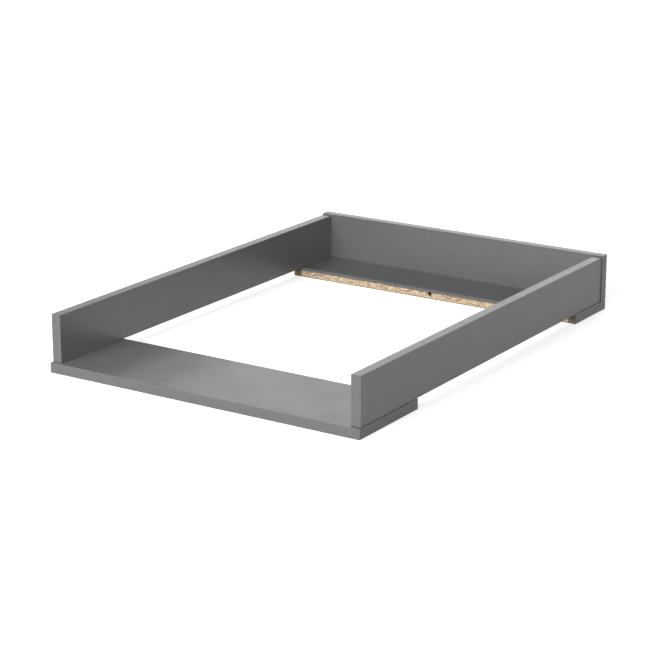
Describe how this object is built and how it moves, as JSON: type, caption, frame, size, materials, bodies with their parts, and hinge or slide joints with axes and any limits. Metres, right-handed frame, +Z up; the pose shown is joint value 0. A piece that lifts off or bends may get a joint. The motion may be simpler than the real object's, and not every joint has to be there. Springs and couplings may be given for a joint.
{
  "type": "changing table top",
  "caption": "Open, bottomless changing frame for the top of a chest of drawers: side rails and a rear panel on a front and a rear board, in grey melamine-faced chipboard.",
  "frame": {"origin": "under the middle of the frame, on the plane of the two flat boards' undersides, which the part rests on when it is off the chest", "axes": "+X to the right as seen from the front, +Y towards the rear panel, +Z up"},
  "size_m": [0.545, 0.76, 0.093],
  "materials": {
    "grey_melamine": "satin",
    "grey_edge_band": "satin",
    "chipboard": "matte",
    "zinc_steel": "satin",
    "beech": "matte"
  },
  "bodies": {
    "root": {"front_board_core": "chipboard", "front_board_top_face": "grey_melamine", "front_board_under_face": "grey_melamine", "front_board_front_band": "grey_edge_band", "front_board_left_band": "grey_edge_band", "front_board_right_band": "grey_edge_band", "rear_board_core": "chipboard", "rear_board_top_face": "grey_melamine", "rear_board_under_face": "grey_melamine", "rear_board_left_band": "grey_edge_band", "rear_board_right_band": "grey_edge_band", "rear_panel_core": "chipboard", "rear_panel_inner_face": "grey_melamine", "rear_panel_outer_face": "grey_melamine", "rear_panel_top_band": "grey_edge_band", "rear_panel_left_band": "grey_edge_band", "rear_panel_right_band": "grey_edge_band", "left_rail_core": "chipboard", "left_rail_inner_face": "grey_melamine", "left_rail_outer_face": "grey_melamine", "left_rail_top_band": "grey_edge_band", "left_rail_bottom_band": "grey_edge_band", "left_rail_front_band": "grey_edge_band", "right_rail_core": "chipboard", "right_rail_inner_face": "grey_melamine", "right_rail_outer_face": "grey_melamine", "right_rail_top_band": "grey_edge_band", "right_rail_bottom_band": "grey_edge_band", "right_rail_front_band": "grey_edge_band", "front_board_screws": "zinc_steel", "rear_board_screws": "zinc_steel", "panel_rail_screws": "zinc_steel", "panel_board_screws": "zinc_steel", "front_board_dowels": "beech", "rear_board_dowels": "beech", "panel_rail_dowels": "beech", "panel_board_dowels": "beech"}
  },
  "joints": []
}
